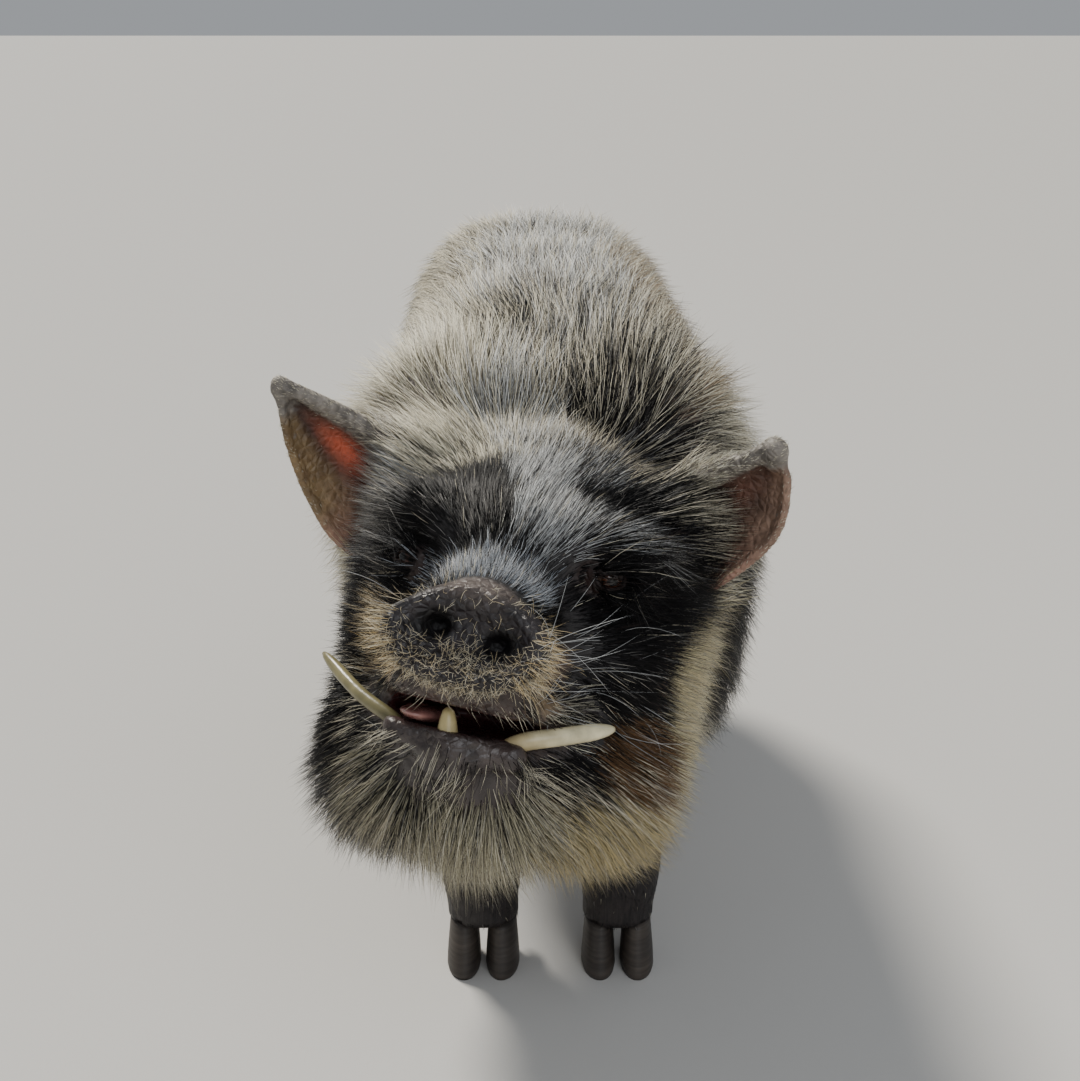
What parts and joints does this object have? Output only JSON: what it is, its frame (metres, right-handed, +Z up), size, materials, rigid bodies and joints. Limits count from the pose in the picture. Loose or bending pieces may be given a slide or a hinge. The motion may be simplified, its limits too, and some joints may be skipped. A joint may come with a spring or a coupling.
{
  "type": "kunekune pig",
  "caption": "Life-size standing kunekune pig with a raised, turned head, long bristly coat, curled tusks and upright ears.",
  "frame": {"origin": "on the floor, under the middle of the whole animal", "axes": "+Z up, the pig faces -Y, +X is its left side"},
  "size_m": [0.4044, 1.2056, 0.6466],
  "materials": {
    "coat": "long bristly hair over grey skin",
    "snout": "bare dark skin with short bristles",
    "eye": "wet",
    "horn": "worn horn",
    "ivory": "stained tooth",
    "tongue": "wet flesh"
  },
  "bodies": {
    "root": {"ear_left": "coat", "ear_right": "coat", "eye_left": "eye", "eye_right": "eye", "front_dewclaw_inner_left": "horn", "front_dewclaw_inner_right": "horn", "front_dewclaw_outer_left": "horn", "front_dewclaw_outer_right": "horn", "front_hoof_inner_left": "horn", "front_hoof_inner_right": "horn", "front_hoof_outer_left": "horn", "front_hoof_outer_right": "horn", "front_lower_leg_left": "coat", "front_lower_leg_right": "coat", "front_upper_leg_left": "coat", "front_upper_leg_right": "coat", "head": "coat", "hind_dewclaw_inner_left": "horn", "hind_dewclaw_inner_right": "horn", "hind_dewclaw_outer_left": "horn", "hind_dewclaw_outer_right": "horn", "hind_hoof_inner_left": "horn", "hind_hoof_inner_right": "horn", "hind_hoof_outer_left": "horn", "hind_hoof_outer_right": "horn", "hind_lower_leg_left": "coat", "hind_lower_leg_right": "coat", "hind_upper_leg_left": "coat", "hind_upper_leg_right": "coat", "neck": "coat", "snout": "snout", "tail": "coat", "tongue": "tongue", "tooth_front": "ivory", "torso": "coat", "tusk_left": "ivory", "tusk_right": "ivory"}
  },
  "joints": []
}
